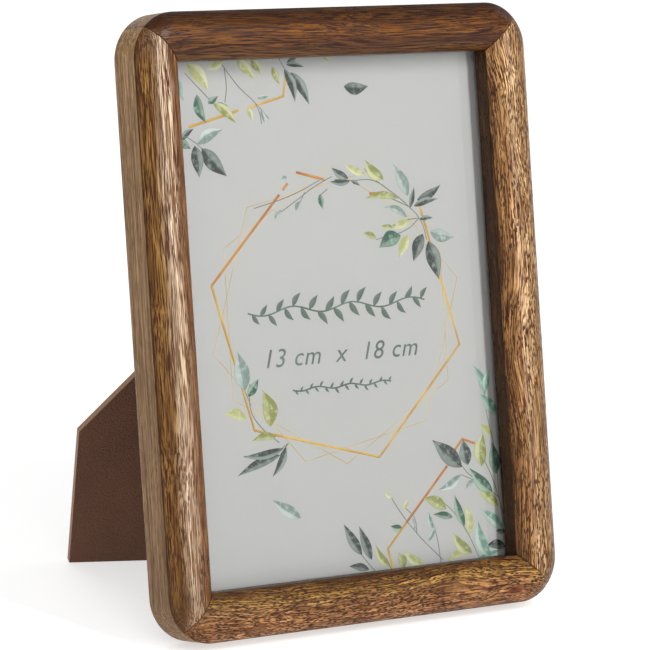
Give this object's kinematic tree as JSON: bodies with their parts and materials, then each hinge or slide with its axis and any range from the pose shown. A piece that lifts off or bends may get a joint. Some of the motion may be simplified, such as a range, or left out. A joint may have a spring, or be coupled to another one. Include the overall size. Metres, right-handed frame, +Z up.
{
  "type": "photo frame",
  "caption": "Free-standing wooden photo frame with mitred half-round rails, glass, a printed insert and a folding easel leg behind.",
  "frame": {"origin": "middle of the ground covered, on the plane that the frame stands on", "axes": "+Z up, X to the right as seen from the front, the print faces -Y; the frame leans back 14 degrees towards +Y"},
  "size_m": [0.153, 0.1062, 0.2001],
  "materials": {
    "oiled_mango_wood": "satin lacquer over stained, open-pored mango wood",
    "picture_glass": "clear float glass, polished",
    "printed_card": "smooth white card, printed",
    "corrugated_card": "plain brown corrugated card",
    "brown_fibreboard": "dark brown faced fibreboard, lighter sawn edges",
    "nickel_plated_steel": "stamped sheet, nickel plated",
    "zinc_plated_steel": "bright zinc plate"
  },
  "bodies": {
    "frame": {"rail_top": "oiled_mango_wood", "rail_bottom": "oiled_mango_wood", "stile_left": "oiled_mango_wood", "stile_right": "oiled_mango_wood", "corner_v_nails": "zinc_plated_steel", "glass_pane": "picture_glass", "print_card": "printed_card", "backing_pad": "corrugated_card", "back_board": "brown_fibreboard", "turn_button_screws": "zinc_plated_steel", "hinge_board_leaf": "nickel_plated_steel", "hinge_board_rivets": "zinc_plated_steel", "hinge_pin": "zinc_plated_steel"},
    "strut": {"hinge_leg_leaf": "nickel_plated_steel", "hinge_leg_rivets": "zinc_plated_steel", "strut_leg": "brown_fibreboard"},
    "button_top": {"turn_button_top": "nickel_plated_steel"},
    "button_bottom": {"turn_button_bottom": "nickel_plated_steel"},
    "button_left": {"turn_button_left": "nickel_plated_steel"},
    "button_right": {"turn_button_right": "nickel_plated_steel"}
  },
  "joints": [
    {"name": "strut_hinge", "type": "hinge", "parent": "frame", "child": "strut", "pos_m": [0.024, -0.00029, 0.14152], "axis": [0.866, -0.121, -0.4851], "range_deg": [-30, 0]},
    {"name": "turn_button_top_pivot", "type": "hinge", "parent": "frame", "child": "button_top", "pos_m": [0.036, 0.01035, 0.19143], "axis": [0, 0.9703, -0.2419], "continuous": true},
    {"name": "turn_button_bottom_pivot", "type": "hinge", "parent": "frame", "child": "button_bottom", "pos_m": [0.036, -0.0361, 0.00513], "axis": [0, 0.9703, -0.2419], "continuous": true},
    {"name": "turn_button_left_pivot", "type": "hinge", "parent": "frame", "child": "button_left", "pos_m": [-0.071, -0.00368, 0.13515], "axis": [0, 0.9703, -0.2419], "continuous": true},
    {"name": "turn_button_right_pivot", "type": "hinge", "parent": "frame", "child": "button_right", "pos_m": [0.071, -0.02207, 0.06141], "axis": [0, 0.9703, -0.2419], "continuous": true}
  ]
}
